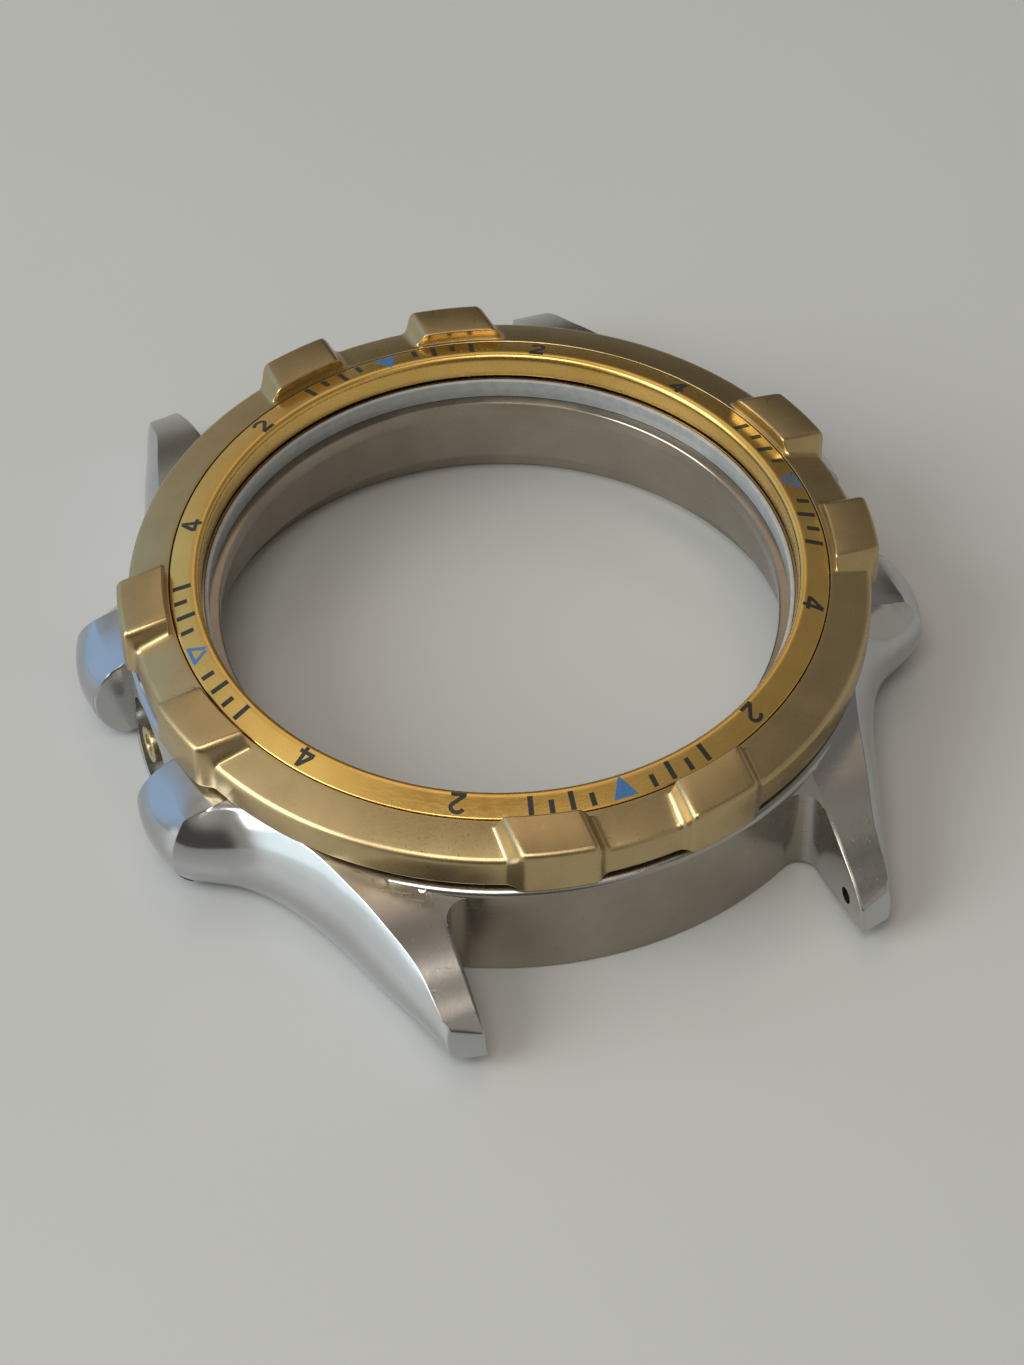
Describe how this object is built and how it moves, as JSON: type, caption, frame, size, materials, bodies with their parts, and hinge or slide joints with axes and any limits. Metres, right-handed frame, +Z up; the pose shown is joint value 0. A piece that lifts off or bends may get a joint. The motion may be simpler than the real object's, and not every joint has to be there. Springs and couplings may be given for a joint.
{
  "type": "empty watch case",
  "caption": "Round steel wristwatch case with lugs, crown guards, open back and a turning gold bezel with raised grip tabs round a printed tide ring.",
  "frame": {"origin": "on the axis of the bezel, at the underside of the case", "axes": "+X to 3 o'clock, where the crown tube is; +Y to 12 o'clock; +Z up through the bezel"},
  "size_m": [0.0426, 0.047, 0.0092],
  "materials": {
    "case_steel": "fine satin, polished on the flanks",
    "bezel_gold": "satin gold plating",
    "ring_gold": "bright gold plating with printed marks",
    "adhesive": "cured film",
    "spring_steel": "drawn wire",
    "gasket_rubber": "matte",
    "gasket_nylon": "milky",
    "tube_gold": "satin",
    "ball_steel": "ground and polished"
  },
  "bodies": {
    "case": {"mid_case": "case_steel", "retaining_wire": "spring_steel", "bezel_gasket": "gasket_rubber", "crystal_gasket": "gasket_nylon", "crown_tube": "tube_gold", "crown_tube_gasket": "gasket_rubber", "click_spring_1": "spring_steel", "click_spring_2": "spring_steel", "click_spring_3": "spring_steel", "click_spring_4": "spring_steel"},
    "turning_bezel": {"bezel": "bezel_gold", "scale_ring": "ring_gold", "scale_bond": "adhesive"},
    "ball_1": {"click_ball_1": "ball_steel"},
    "ball_2": {"click_ball_2": "ball_steel"},
    "ball_3": {"click_ball_3": "ball_steel"},
    "ball_4": {"click_ball_4": "ball_steel"}
  },
  "joints": [
    {"name": "bezel_turn", "type": "hinge", "parent": "case", "child": "turning_bezel", "pos_m": [0, 0, 0.0086], "axis": [0, 0, 1], "continuous": true},
    {"name": "ball_1_press", "type": "slide", "parent": "case", "child": "ball_1", "axis": [0, 0, 1], "range_m": [-0.00034, 0], "stiffness_N_per_m": 300, "springref_m": 0.0003, "deforming": ["click_spring_1"]},
    {"name": "ball_2_press", "type": "slide", "parent": "case", "child": "ball_2", "axis": [0, 0, 1], "range_m": [-0.00034, 0], "stiffness_N_per_m": 300, "springref_m": 0.0003, "deforming": ["click_spring_2"]},
    {"name": "ball_3_press", "type": "slide", "parent": "case", "child": "ball_3", "axis": [0, 0, 1], "range_m": [-0.00034, 0], "stiffness_N_per_m": 300, "springref_m": 0.0003, "deforming": ["click_spring_3"]},
    {"name": "ball_4_press", "type": "slide", "parent": "case", "child": "ball_4", "axis": [0, 0, 1], "range_m": [-0.00034, 0], "stiffness_N_per_m": 300, "springref_m": 0.0003, "deforming": ["click_spring_4"]}
  ]
}
